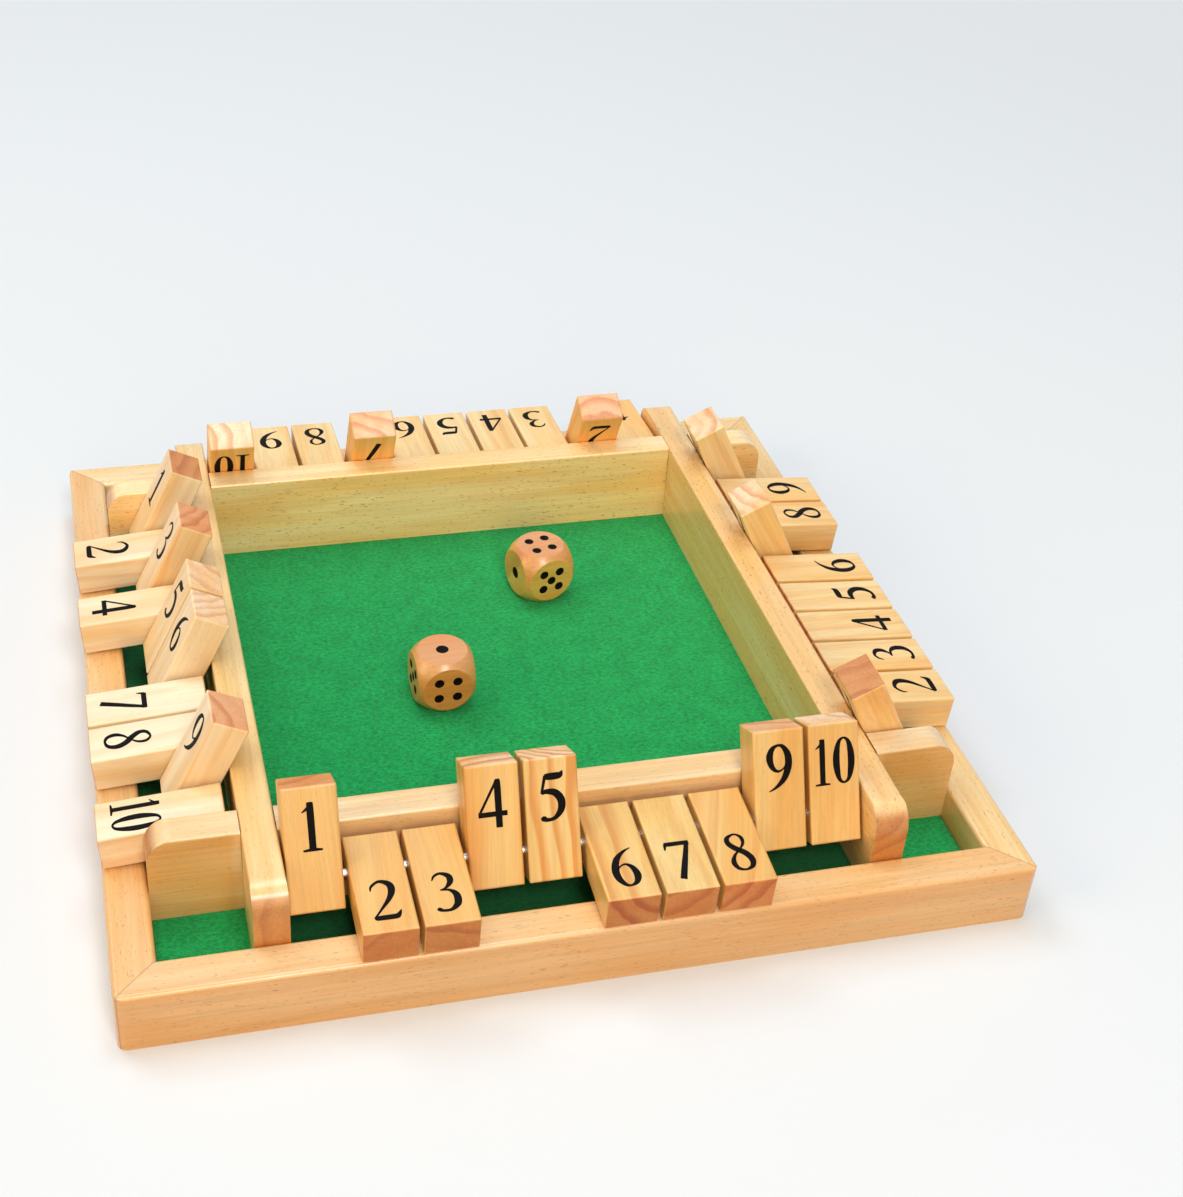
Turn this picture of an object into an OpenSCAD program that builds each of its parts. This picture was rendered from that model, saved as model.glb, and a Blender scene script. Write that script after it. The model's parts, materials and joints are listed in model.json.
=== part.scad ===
// Four-player wooden board game: forty flip-down number tiles round a felted dice tray, with two dice.
// Millimetres. The origin is on the table under the board's centre, +X right, +Y to the back, +Z up.

/* [Board] */
// Side of the square board, across its outer rails
board_w = 280; // [260:1:340]
// Width of an outer rail, seen from above
rail_w = 13; // [10:0.5:18]
// Height of an outer rail
rail_h = 21; // [18:0.5:23]
// Radius of the board's four upright corners
corner_r = 3; // [1:0.5:8]
// Radius of the eased long edges on top of the rails
rail_edge_r = 1.5; // [0.5:0.1:3]

/* [Floor] */
// Height of the recess under the floor panel
recess_h = 5; // [3:0.5:6]
// Thickness of the plywood floor panel
panel_t = 3; // [2:0.5:4]
// Depth of the groove in the rails that holds the panel
groove_d = 4; // [2:0.5:6]
// Thickness of the felt on the panel
felt_t = 1; // [0.5:0.1:2]
// Diameter of the pins that fasten the inner walls through the panel
pin_d = 1.6; // [1:0.1:2.5]
// Diameter of a pin's flat head
pin_head_d = 3.4; // [3:0.1:5]
// Thickness of a pin's head
pin_head_t = 0.8; // [0.5:0.1:1.2]
// Length of a pin, head included
pin_l = 15; // [12:0.5:18]
// Distance between the pins along a wall
pin_pitch = 62; // [40:1:66]

/* [Inner walls] */
// Width of the channel between a rail and an inner wall
channel_w = 27.5; // [25:0.5:32]
// Thickness of an inner wall
wall_t = 10.5; // [9:0.5:14]
// Height of an inner wall above the felt
wall_h = 30.5; // [27:0.5:36]
// Radius of the rounded top corner at each end of an inner wall
wall_end_r = 8; // [3:0.5:11]
// Radius of the eased long edges on top of the inner walls
wall_edge_r = 0.8; // [0.3:0.1:2]

/* [Tiles] */
// Length of a tile
tile_l = 38; // [34:0.5:44]
// Thickness of a tile
tile_t = 12; // [9:0.5:13]
// Gap between two neighbouring tiles
tile_gap = 1.5; // [0.8:0.1:3]
// Distance from a tile's inner end to its rod
tile_tail = 8.9; // [6:0.1:10]
// Radius of a tile's eased edges
tile_edge_r = 0.7; // [0.3:0.1:1.5]

/* [Rods] */
// Diameter of the steel rod that carries a row of tiles
rod_d = 3; // [2:0.1:4]
// Height of the top of the inner walls above the rods' axes
rod_drop = 10.2; // [8:0.1:12]
// Depth of the blind holes that hold a rod's ends
rod_seat = 8; // [5:0.5:8.5]

/* [Dice] */
// Width of a die across its flat faces
die_w = 20; // [16:0.5:24]
// Share of the die's half width by which its rounding ball is larger than a face's reach
die_ball = 1.32; // [1.25:0.01:1.5]
// Distance of the outer pips from the middle of a face
pip_pitch = 3.2; // [2.5:0.1:3.6]
// Diameter of a pip
pip_d = 3.4; // [2:0.1:3.6]
// Diameter of the single pip on the one
one_d = 4.4; // [3:0.1:6]
// Depth of the pips
pip_depth = 0.5; // [0.3:0.1:0.8]
// First die, to the right of the board's centre
die_1_x = -21.4; // [-40:0.1:10]
// First die, behind the board's centre
die_1_y = -9.8; // [-60:0.1:10]
// First die, turn about its upright axis
die_1_turn = 2.4; // [-45:0.1:45]
// Second die, to the right of the board's centre
die_2_x = 27.2; // [12:0.1:50]
// Second die, behind the board's centre
die_2_y = 47; // [28:0.1:60]
// Second die, turn about its upright axis
die_2_turn = 13.5; // [-45:0.1:45]

/* [Fits] */
// Radial running clearance between a tile's hole and its rod
rod_clear = 0.08; // [0.04:0.01:0.1]
// Radial clearance of a rod's or a pin's end in its fixed hole
fixed_clear = 0.02; // [0.01:0.01:0.05]
// Clearance of the panel in its groove, of the felt in the rails and of the lap joints
joint_clear = 0.1; // [0.05:0.05:0.2]
// Gap that a resting tile or die keeps from what it rests on
rest_clear = 0.15; // [0.1:0.05:0.3]
// Gap between an inner wall and the inner end of a tile that swings past it
swing_clear = 0.75; // [0.5:0.05:2]

/* [Hidden] */
$fn = 48;
EPS = 1;                                          // how far a cut runs past a face
INSIDE = board_w / 2 - rail_w;                    // centre to the rails' inner faces
WALL_OUT = INSIDE - channel_w;                    // centre to an inner wall's outer face
WALL_IN = WALL_OUT - wall_t;                      // centre to its inner face, half the tray
WALL_MID = WALL_OUT - wall_t / 2;
PANEL_Z = recess_h + panel_t;                     // top of the panel
FELT_Z = PANEL_Z + felt_t;                        // top of the felt
WALL_Z = FELT_Z + wall_h;                         // top of the inner walls
LAP_Z = FELT_Z + wall_h / 2;                      // where the crossing walls halve each other
TAIL_R = norm([tile_tail, tile_t / 2]);           // sweep of a tile's inner end about its rod
ROD_OUT = WALL_OUT + TAIL_R + swing_clear;        // centre to a rod's axis
ROD_Z = WALL_Z - rod_drop;

// Each letter is one tile, in the order of its numbers: S stands, L lies on the rail.
REST = ["SLLSSLLLSS", "SLLLLLSLLS", "LSLLLLSLLS", "SLSLSSLLSL"];
SIDES = ["front", "right", "back", "left"];
TILES = len(REST[0]);
TILE_PITCH = 2 * WALL_IN / TILES;
TILE_W = TILE_PITCH - tile_gap;

// A standing tile leans until its inner face meets the eased outer edge of the inner wall.
LEAN_X = ROD_OUT - WALL_OUT + wall_edge_r;
LEAN_Z = rod_drop - wall_edge_r;
LEAN = acos((tile_t / 2 + rest_clear + wall_edge_r) / norm([LEAN_X, LEAN_Z])) - atan2(LEAN_Z, LEAN_X);

// A lying tile meets the outer or the inner eased edge of its rail, whichever comes first.
function lie_on(x) = let (dx = x - ROD_OUT, dz = rail_h - rail_edge_r - ROD_Z)
    asin((tile_t / 2 + rest_clear + rail_edge_r) / norm([dx, dz])) + atan2(dz, dx);
LIE = max(lie_on(board_w / 2 - rail_edge_r), lie_on(INSIDE + rail_edge_r));
TRAVEL = 90 + LEAN - LIE;

function tile_name(side, number) = str("tile_", SIDES[side], "_", number);

echo(lean = LEAN, lie = LIE, travel = TRAVEL, rod_out = ROD_OUT, rod_z = ROD_Z, tile_w = TILE_W);

// Rectangle about the origin with four rounded corners.
module rounded_rect(a, b, r) {
    square([a - 2 * r, b], center = true);
    square([a, b - 2 * r], center = true);
    for (x = [-1, 1], y = [-1, 1])
        translate([x * (a / 2 - r), y * (b / 2 - r)]) circle(r);
}

// Upright rectangle standing on y = 0, with its two top corners rounded.
module round_topped(w, h, r) {
    translate([-w / 2, 0]) square([w, h - r]);
    translate([r - w / 2, 0]) square([w - 2 * r, h]);
    for (x = [-1, 1]) translate([x * (w / 2 - r), h - r]) circle(r);
}

// Carries a shape made for the front of the board to another side.
module on_side(side) rotate([0, 0, 90 * side]) children();

// Section of a rail, from its inner face (y = 0) outwards (y < 0), standing on z = 0.
module rail_section() {
    difference() {
        translate([-rail_w / 2, 0]) round_topped(rail_w, rail_h, rail_edge_r);
        translate([-groove_d - joint_clear, recess_h - joint_clear])
            square([groove_d + joint_clear + EPS, panel_t + 2 * joint_clear]);
    }
}

// One mitred rail, with the panel's groove and its share of the rounded corners.
module rail(side) {
    color("#dfae62") on_side(side) intersection() {
        translate([-board_w / 2, -INSIDE, 0]) rotate([90, 0, 90])
            linear_extrude(board_w) rail_section();
        linear_extrude(rail_h) intersection() {
            polygon([[-board_w / 2, -board_w / 2], [board_w / 2, -board_w / 2],
                     [INSIDE, -INSIDE], [-INSIDE, -INSIDE]]);
            rounded_rect(board_w, board_w, corner_r);
        }
    }
}

// Where the pins stand: three along each inner wall, on its middle.
module at_pins() {
    for (side = [0 : 3], k = [-1 : 1])
        on_side(side) translate([k * pin_pitch, -WALL_MID, recess_h]) children();
}

module pin(grow) {
    cylinder(d = pin_head_d + 2 * grow, h = pin_head_t + grow);
    cylinder(d = pin_d + 2 * grow, h = pin_l + grow);
}

module panel_pins() {
    color("#b9bbbd") at_pins() pin(0);
}

module pin_holes() {
    at_pins() translate([0, 0, -fixed_clear]) pin(fixed_clear);
}

module floor_panel() {
    panel_w = 2 * (INSIDE + groove_d);
    color("#c9a06a") difference() {
        translate([-panel_w / 2, -panel_w / 2, recess_h]) cube([panel_w, panel_w, panel_t]);
        pin_holes();
    }
}

module felt_lining() {
    felt_w = 2 * (INSIDE - joint_clear);
    color("#5f9b2c") difference() {
        translate([-felt_w / 2, -felt_w / 2, PANEL_Z]) cube([felt_w, felt_w, felt_t]);
        pin_holes();
    }
}

// One inner wall. Left and right are notched from below and run through on top; front and back from above.
module inner_wall(side) {
    over = side % 2 == 1;
    length = 2 * INSIDE;
    color("#d9a860") difference() {
        on_side(side) translate([0, -WALL_MID, FELT_Z]) difference() {
            intersection() {
                rotate([90, 0, 0]) linear_extrude(wall_t, center = true)
                    round_topped(length, wall_h, wall_end_r);
                rotate([90, 0, 90]) linear_extrude(length, center = true)
                    round_topped(wall_t, wall_h, wall_edge_r);
            }
            for (x = [-1, 1]) {
                translate([x * WALL_MID, 0, (over ? -1 : 1) * wall_h / 2 + wall_h / 2])
                    cube([wall_t + 2 * joint_clear, wall_t + EPS, wall_h + joint_clear], center = true);
                translate([x * ROD_OUT, wall_t / 2 + EPS, ROD_Z - FELT_Z]) rotate([90, 0, 0])
                    cylinder(d = rod_d + 2 * fixed_clear, h = rod_seat + EPS);
            }
        }
        pin_holes();
    }
}

// The rod of one side, its ends in the blind holes of the two walls that cross its ends.
module rod(side) {
    length = 2 * (WALL_IN + rod_seat - fixed_clear);
    color("#c3c7cb") on_side(side) translate([-length / 2, -ROD_OUT, ROD_Z]) rotate([0, 90, 0])
        cylinder(d = rod_d, h = length);
}

// A tile about its rod, standing straight up: width on X, thickness on Y.
module tile_block() {
    difference() {
        translate([0, 0, tile_l / 2 - tile_tail]) intersection() {
            linear_extrude(tile_l, center = true) rounded_rect(TILE_W, tile_t, tile_edge_r);
            rotate([90, 0, 0]) linear_extrude(tile_t, center = true)
                rounded_rect(TILE_W, tile_l, tile_edge_r);
            rotate([90, 0, 90]) linear_extrude(TILE_W, center = true)
                rounded_rect(tile_t, tile_l, tile_edge_r);
        }
        rotate([0, 90, 0]) cylinder(d = rod_d + 2 * rod_clear, h = TILE_W + 2 * EPS, center = true);
    }
}

module tile(side, number) {
    stands = REST[side][number - 1] == "S";
    color("#d39a4f") on_side(side)
        translate([(number - (TILES + 1) / 2) * TILE_PITCH, -ROD_OUT, ROD_Z])
            rotate([stands ? -LEAN : 90 - LIE, 0, 0]) tile_block();
}

// Places of the pips on a face, for one to six.
function pips(n) = let (p = pip_pitch) concat(
    n % 2 == 1 ? [[0, 0]] : [],
    n > 1 ? [[-p, p], [p, -p]] : [],
    n > 3 ? [[p, p], [-p, -p]] : [],
    n == 6 ? [[-p, 0], [p, 0]] : []);

// Shallow round pips cut into the top face of a die about its centre.
module pip_cuts(n) {
    d = n == 1 ? one_d : pip_d;
    ball_r = (d * d / 4 + pip_depth * pip_depth) / (2 * pip_depth);
    for (p = pips(n)) translate([p[0], p[1], die_w / 2 + ball_r - pip_depth]) sphere(ball_r);
}

// A die about its centre. up, front and right are the numbers there; opposite faces add up to seven.
module die(up, front, right) {
    difference() {
        intersection() {
            cube(die_w, center = true);
            sphere(die_w / 2 * die_ball);
        }
        pip_cuts(up);
        rotate([180, 0, 0]) pip_cuts(7 - up);
        rotate([90, 0, 0]) pip_cuts(front);
        rotate([-90, 0, 0]) pip_cuts(7 - front);
        rotate([0, 90, 0]) pip_cuts(right);
        rotate([0, -90, 0]) pip_cuts(7 - right);
    }
}

module die_1() {
    color("#cf8a3a") translate([die_1_x, die_1_y, FELT_Z + rest_clear + die_w / 2])
        rotate([0, 0, die_1_turn]) die(1, 4, 2);
}

module die_2() {
    color("#cf8a3a") translate([die_2_x, die_2_y, FELT_Z + rest_clear + die_w / 2])
        rotate([0, 0, die_2_turn]) die(4, 5, 6);
}

rail(0);  // rail_front
rail(1);  // rail_right
rail(2);  // rail_back
rail(3);  // rail_left
floor_panel();
felt_lining();
panel_pins();
inner_wall(0);  // inner_wall_front
inner_wall(1);  // inner_wall_right
inner_wall(2);  // inner_wall_back
inner_wall(3);  // inner_wall_left
rod(0);  // rod_front
rod(1);  // rod_right
rod(2);  // rod_back
rod(3);  // rod_left
for (s = [0 : 3], n = [1 : TILES])
    tile(s, n);
die_1();
die_2();
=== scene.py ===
"""Finishes for a four-player number-tile board game: lacquered pine, green felt, steel rods, printed numbers
and painted dice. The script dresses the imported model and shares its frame: metres, the origin on the table
under the board's centre, +X right, +Y to the back and +Z up."""

import json
import math

import bpy
import numpy as np
from bpy.props import FloatProperty, FloatVectorProperty, IntProperty, PointerProperty
from mathutils import Euler, Matrix, Vector


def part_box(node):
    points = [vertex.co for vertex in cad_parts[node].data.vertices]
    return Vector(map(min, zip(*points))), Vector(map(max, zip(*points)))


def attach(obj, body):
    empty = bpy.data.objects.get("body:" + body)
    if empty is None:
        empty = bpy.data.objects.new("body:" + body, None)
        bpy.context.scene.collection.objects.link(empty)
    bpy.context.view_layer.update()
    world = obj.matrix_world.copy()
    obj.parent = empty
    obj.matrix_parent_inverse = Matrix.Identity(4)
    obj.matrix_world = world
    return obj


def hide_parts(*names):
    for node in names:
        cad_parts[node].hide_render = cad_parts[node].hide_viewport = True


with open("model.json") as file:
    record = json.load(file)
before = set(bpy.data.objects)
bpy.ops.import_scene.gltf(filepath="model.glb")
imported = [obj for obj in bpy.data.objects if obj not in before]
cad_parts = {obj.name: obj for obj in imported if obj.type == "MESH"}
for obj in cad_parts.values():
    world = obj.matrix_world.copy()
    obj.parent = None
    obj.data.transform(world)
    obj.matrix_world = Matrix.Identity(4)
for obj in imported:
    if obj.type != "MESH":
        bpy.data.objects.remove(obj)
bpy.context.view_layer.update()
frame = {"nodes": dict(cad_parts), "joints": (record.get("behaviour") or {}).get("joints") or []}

bl_info = {
    "name": "Number-tile board game",
    "version": (1, 0, 0),
    "blender": (4, 5, 0),
    "location": "View3D > Sidebar > Board game",
    "description": "Dresses a wooden number-tile board game in pine, felt, steel and paint",
    "category": "Object",
}

MM = 0.001
SIDES = ("front", "right", "back", "left")
TILES = 10
SIDE_TURN = {side: k * math.pi / 2 for k, side in enumerate(SIDES)}
JOINTS = {joint["child"]: joint for joint in frame["joints"]}

# Each number is a list of strokes, and each stroke a row of knots: across, up and pen width, in heights of
# the number. A smooth line runs through the knots, and in a looped number it runs round to its start.
STROKES = {
    "1": [
        ((-0.17, 0.79, 0.02), (-0.08, 0.85, 0.05), (0.03, 0.96, 0.05)),
        ((0.0, 0.99, 0.07), (0.0, 0.9, 0.125), (0.0, 0.1, 0.125), (0.0, 0.0, 0.15)),
        ((-0.19, 0.018, 0.036), (0.0, 0.03, 0.06), (0.19, 0.018, 0.036)),
    ],
    "2": [
        ((-0.235, 0.74, 0.02), (-0.2, 0.86, 0.05), (-0.04, 0.965, 0.065), (0.14, 0.88, 0.12),
         (0.175, 0.72, 0.13), (0.1, 0.52, 0.095), (-0.08, 0.28, 0.05), (-0.24, 0.08, 0.035)),
        ((-0.26, 0.045, 0.05), (-0.2, 0.055, 0.1), (0.1, 0.055, 0.11), (0.2, 0.075, 0.1),
         (0.285, 0.21, 0.015)),
    ],
    "3": [
        ((-0.22, 0.8, 0.02), (-0.16, 0.91, 0.05), (-0.03, 0.965, 0.06), (0.12, 0.88, 0.11),
         (0.13, 0.73, 0.11), (0.02, 0.59, 0.05), (-0.1, 0.545, 0.025)),
        ((-0.1, 0.545, 0.025), (0.08, 0.52, 0.06), (0.19, 0.39, 0.125), (0.18, 0.18, 0.13),
         (0.04, 0.04, 0.07), (-0.12, 0.03, 0.06), (-0.2, 0.07, 0.085), (-0.235, 0.1, 0.05)),
    ],
    "4": [
        ((0.1, 0.99, 0.05), (-0.29, 0.3, 0.045)),
        ((-0.31, 0.285, 0.095), (0.28, 0.285, 0.095)),
        ((0.1, 1.0, 0.06), (0.105, 0.88, 0.12), (0.105, 0.1, 0.12), (0.105, 0.0, 0.12)),
    ],
    "5": [
        ((-0.14, 0.915, 0.1), (-0.04, 0.915, 0.13), (0.1, 0.915, 0.13), (0.185, 0.935, 0.11),
         (0.235, 1.01, 0.02)),
        ((-0.125, 0.94, 0.06), (-0.21, 0.575, 0.05)),
        ((-0.215, 0.575, 0.05), (-0.12, 0.61, 0.09), (0.06, 0.575, 0.13), (0.18, 0.42, 0.145),
         (0.175, 0.22, 0.13), (0.05, 0.06, 0.08), (-0.1, 0.025, 0.07), (-0.19, 0.06, 0.105),
         (-0.22, 0.1, 0.06)),
    ],
    "6": [
        ((0.235, 0.985, 0.02), (0.07, 0.9, 0.06), (-0.1, 0.73, 0.115), (-0.195, 0.48, 0.14),
         (-0.19, 0.24, 0.13), (-0.09, 0.06, 0.08), (0.03, 0.025, 0.05), (0.15, 0.1, 0.1),
         (0.205, 0.27, 0.135), (0.155, 0.47, 0.1), (0.04, 0.57, 0.05), (-0.08, 0.53, 0.035),
         (-0.17, 0.42, 0.04)),
    ],
    "7": [
        ((-0.285, 0.775, 0.02), (-0.265, 0.86, 0.05), (-0.25, 0.95, 0.05)),
        ((-0.26, 0.93, 0.1), (0.25, 0.93, 0.1)),
        ((0.215, 0.96, 0.08), (0.12, 0.68, 0.095), (-0.01, 0.32, 0.115), (-0.12, 0.0, 0.125)),
    ],
    "8": [
        ((0.0, 0.97, 0.045), (-0.145, 0.89, 0.085), (-0.165, 0.75, 0.11), (-0.06, 0.6, 0.125),
         (0.1, 0.46, 0.13), (0.19, 0.28, 0.125), (0.15, 0.1, 0.09), (0.0, 0.025, 0.05), (-0.15, 0.08, 0.08),
         (-0.2, 0.24, 0.1), (-0.13, 0.41, 0.06), (0.02, 0.56, 0.035), (0.13, 0.7, 0.06), (0.15, 0.84, 0.075),
         (0.1, 0.93, 0.06)),
    ],
    "0": [
        ((0.0, 0.975, 0.04), (-0.1, 0.9, 0.075), (-0.15, 0.7, 0.12), (-0.165, 0.5, 0.135),
         (-0.15, 0.3, 0.12), (-0.1, 0.1, 0.075), (0.0, 0.025, 0.04), (0.1, 0.1, 0.075), (0.15, 0.3, 0.12),
         (0.165, 0.5, 0.135), (0.15, 0.7, 0.12), (0.1, 0.9, 0.075)),
    ],
}
LOOPED = ("8", "0")
HALF_TURNED = {"9": "6"}
# Each digit of a wide number, its shift and its width.
WIDE_NUMBER = {"10": (("1", -0.26, 0.85), ("0", 0.21, 1.0))}


# ---------------------------------------------------------------- settings


class PineSettings(bpy.types.PropertyGroup):
    """Colours and lacquer of the pine."""

    pale: FloatVectorProperty(
        name="Spring wood", description="Colour of the pale part of a growth ring", subtype="COLOR",
        size=3, min=0, max=1, default=(0.87, 0.62, 0.30))
    honey: FloatVectorProperty(
        name="Honey tint", description="Colour that the pale wood drifts to in broad patches",
        subtype="COLOR", size=3, min=0, max=1, default=(0.84, 0.50, 0.17))
    dark: FloatVectorProperty(
        name="Summer wood", description="Colour of the band that ends a growth ring", subtype="COLOR",
        size=3, min=0, max=1, default=(0.74, 0.33, 0.08))
    end: FloatVectorProperty(
        name="End grain", description="Tint that multiplies the colour on cut ends", subtype="COLOR",
        size=3, min=0, max=1, default=(0.65, 0.38, 0.18))
    warm_end: FloatVectorProperty(
        name="Warm end grain", description="The same for the tiles whose ends are half pale", subtype="COLOR",
        size=3, min=0, max=1, default=(0.92, 0.52, 0.36))
    # The pale end grain is painted light, brighter than the wood, for the light from above on the upper ends
    # of standing tiles.
    pale_end: FloatVectorProperty(
        name="Pale end grain", description="The same for the tiles whose ends are pale", subtype="COLOR",
        size=3, min=0, max=2, default=(1.13, 1.12, 1.5))
    lacquer: FloatProperty(
        name="Lacquer", description="Weight of the clear coat on rails and walls", subtype="FACTOR", min=0,
        max=1, default=0.9)
    lacquer_roughness: FloatProperty(
        name="Lacquer roughness", description="Roughness of the clear coat", subtype="FACTOR", min=0, max=1,
        default=0.24)
    satin: FloatProperty(
        name="Satin", description="Weight of the thinner coat on the tiles", subtype="FACTOR", min=0, max=1,
        default=0.35)
    satin_roughness: FloatProperty(
        name="Satin roughness", description="Roughness of the coat on the tiles", subtype="FACTOR", min=0,
        max=1, default=0.34)


class FeltSettings(bpy.types.PropertyGroup):
    """The felt lining of the floor."""

    colour: FloatVectorProperty(
        name="Felt", description="Colour of the felt", subtype="COLOR", size=3, min=0, max=1,
        default=(0.004, 0.31, 0.065))
    # The channel colour is painted shade: it darkens the felt under the tiles, where their shadow falls.
    channel: FloatVectorProperty(
        name="Felt in the channels", description="Colour of the shaded felt under the tiles",
        subtype="COLOR", size=3, min=0, max=1, default=(0.003, 0.06, 0.016))
    relief: FloatProperty(
        name="Relief", description="Height of the felt's gentle unevenness", subtype="DISTANCE",
        unit="LENGTH", default=0.07 * MM, precision=5)
    cell: FloatProperty(
        name="Grid cell", description="Size of a cell of the felt's mesh", subtype="DISTANCE", unit="LENGTH",
        min=0.5 * MM, default=1.6 * MM, precision=5)


class NumberSettings(bpy.types.PropertyGroup):
    """The printed numbers on the tiles."""

    height: FloatProperty(
        name="Height", description="Height of a number", subtype="DISTANCE", unit="LENGTH",
        default=14.8 * MM, precision=5)
    margin: FloatProperty(
        name="Margin", description="Distance of a number from the free end of its tile", subtype="DISTANCE",
        unit="LENGTH", default=4.6 * MM, precision=5)
    film: FloatProperty(
        name="Film", description="How far the paint stands proud of the wood", subtype="DISTANCE",
        unit="LENGTH", default=0.03 * MM, precision=6)
    pen: FloatProperty(
        name="Pen", description="Factor on the pen's width", min=0.5, max=1.5, default=1.12)
    samples: IntProperty(
        name="Samples", description="Points worked out between two knots of a stroke", min=2, default=7)
    ink: FloatVectorProperty(
        name="Ink", description="Colour of the numbers and of the pips", subtype="COLOR", size=3, min=0,
        max=1, default=(0.004, 0.003, 0.003))


class DieSettings(bpy.types.PropertyGroup):
    """The wood of the dice and their painted pips."""

    pitch: FloatProperty(
        name="Pip pitch", description="Distance of the outer pips from the middle of a face",
        subtype="DISTANCE", unit="LENGTH", default=3.2 * MM, precision=5)
    pip: FloatProperty(
        name="Pip", description="Diameter of a pip", subtype="DISTANCE", unit="LENGTH", default=3.4 * MM,
        precision=5)
    one: FloatProperty(
        name="Single pip", description="Diameter of the pip on the one", subtype="DISTANCE", unit="LENGTH",
        default=4.4 * MM, precision=5)
    depth: FloatProperty(
        name="Depth", description="Depth of a pip's hollow", subtype="DISTANCE", unit="LENGTH",
        default=0.5 * MM, precision=5)
    wood: FloatVectorProperty(
        name="Die wood", description="Colour of the dice on top", subtype="COLOR", size=3, min=0, max=1,
        default=(0.72, 0.32, 0.115))
    # The three tints below are painted light, set by which way a face looks: the upright faces and the lower
    # roundings take the sides' tint for the warm front light and the felt's green light on them, and the
    # upper roundings take the rounding's tint.
    sides: FloatVectorProperty(
        name="Sides", description="Tint of the first die's upright faces", subtype="COLOR", size=3, min=0,
        max=2, default=(1.1, 0.88, 0.55))
    golden: FloatVectorProperty(
        name="Golden sides", description="Tint of the second die's upright faces", subtype="COLOR", size=3,
        min=0, max=2, default=(1.04, 1.38, 0.8))
    rounding: FloatVectorProperty(
        name="Rounding", description="Tint of the rounded edges and corners", subtype="COLOR", size=3, min=0,
        max=2, default=(1.0, 1.04, 0.85))


class StageSettings(bpy.types.PropertyGroup):
    """Floor, lamps and camera."""

    floor: FloatVectorProperty(
        name="Floor", description="Colour of the floor and the backdrop as the camera sees them",
        subtype="COLOR", size=3, min=0, max=1, default=(0.78, 0.8, 0.82))
    bounce: FloatVectorProperty(
        name="Bounce", description="Colour of the light that the floor throws back on the object",
        subtype="COLOR", size=3, min=0, max=1, default=(0.4, 0.24, 0.13))
    sky: FloatProperty(name="Sky", description="Strength of the even light all round", min=0, default=0.27)
    key: FloatProperty(
        name="Overhead lamp", description="Power of the overhead lamp, in watts", min=0, default=27.0)
    back: FloatProperty(
        name="Back lamp", description="Power of the lamp behind, in watts", min=0, default=25.0)
    side: FloatProperty(
        name="Side lamp", description="Power of the lamp at the left, in watts", min=0, default=21.0)
    front: FloatProperty(
        name="Front lamp", description="Power of the front lamp, in watts", min=0, default=23.0)
    gloss: FloatProperty(
        name="Gloss lamp", description="Power of the small lamp above the camera, in watts", min=0,
        default=17.0)
    warm: FloatVectorProperty(
        name="Warm light", description="Colour of the side and front lamps", subtype="COLOR", size=3, min=0,
        max=1, default=(1.0, 0.77, 0.44))
    eye: FloatVectorProperty(
        name="Camera place", description="Where the camera stands", subtype="TRANSLATION", unit="LENGTH",
        size=3, default=(-0.130575, -0.505793, 0.414532))
    turn: FloatVectorProperty(
        name="Camera turn", description="The camera's X, Y and Z turns", subtype="EULER", unit="ROTATION",
        size=3, default=tuple(math.radians(a) for a in (54.433, -2.88, -13.665)))
    lens: FloatProperty(
        name="Lens", description="Focal length of the camera, in millimetres", min=1, default=56.232)
    shift: FloatProperty(
        name="Lens shift", description="Sideways shift of the lens, in image heights", default=0.05)


# ---------------------------------------------------------------- shader trees


class Tree:
    """Writes a shader tree. Wherever an input is asked for, a socket or a plain value may be given."""

    def __init__(self, tree):
        self.tree = tree

    def feed(self, socket, value):
        if isinstance(value, bpy.types.NodeSocket):
            self.tree.links.new(value, socket)
        else:
            socket.default_value = value

    def fill(self, sockets, values):
        for key, value in values.items():
            self.feed(sockets[key], value)

    def add(self, kind, inputs=(), **settings):
        node = self.tree.nodes.new(kind)
        for key, value in settings.items():
            setattr(node, key, value)
        self.fill(node.inputs, dict(inputs))
        return node

    def group(self, name, maker, inputs):
        """Places a shared node group, which its maker builds the first time."""
        tree = bpy.data.node_groups.get(name) or maker()
        return self.add("ShaderNodeGroup", inputs, node_tree=tree).outputs

    def math(self, operation, a, b=0.0, clamp=False):
        node = self.add("ShaderNodeMath", {0: a, 1: b}, operation=operation, use_clamp=clamp)
        return node.outputs[0]

    def vector(self, operation, a, b=(0.0, 0.0, 0.0)):
        node = self.add("ShaderNodeVectorMath", {0: a, 1: b}, operation=operation)
        return node.outputs["Value" if operation in ("LENGTH", "DOT_PRODUCT") else "Vector"]

    def noise(self, vector, scale=1.0, detail=2.0, roughness=0.5):
        node = self.add("ShaderNodeTexNoise",
                        {"Vector": vector, "Scale": scale, "Detail": detail, "Roughness": roughness})
        return node.outputs["Fac"]

    def ramp(self, value, low, high, start=0.0, stop=1.0):
        """Rises smoothly from start to stop while value goes from low to high."""
        node = self.add("ShaderNodeMapRange", {0: value, 1: low, 2: high, 3: start, 4: stop},
                        interpolation_type="SMOOTHSTEP")
        return node.outputs[0]

    def mix(self, factor, a, b, blend="MIX"):
        node = self.add("ShaderNodeMix", {0: factor, 6: a, 7: b}, data_type="RGBA", blend_type=blend)
        return node.outputs[2]

    def tint(self, colour, by):
        return self.mix(1.0, colour, by, "MULTIPLY")

    def split(self, vector):
        return self.add("ShaderNodeSeparateXYZ", {0: vector}).outputs

    def bump(self, height, strength, distance):
        node = self.add("ShaderNodeBump", {"Height": height, "Strength": strength, "Distance": distance})
        return node.outputs["Normal"]


def opaque(colour):
    return (*colour, 1.0)


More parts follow.
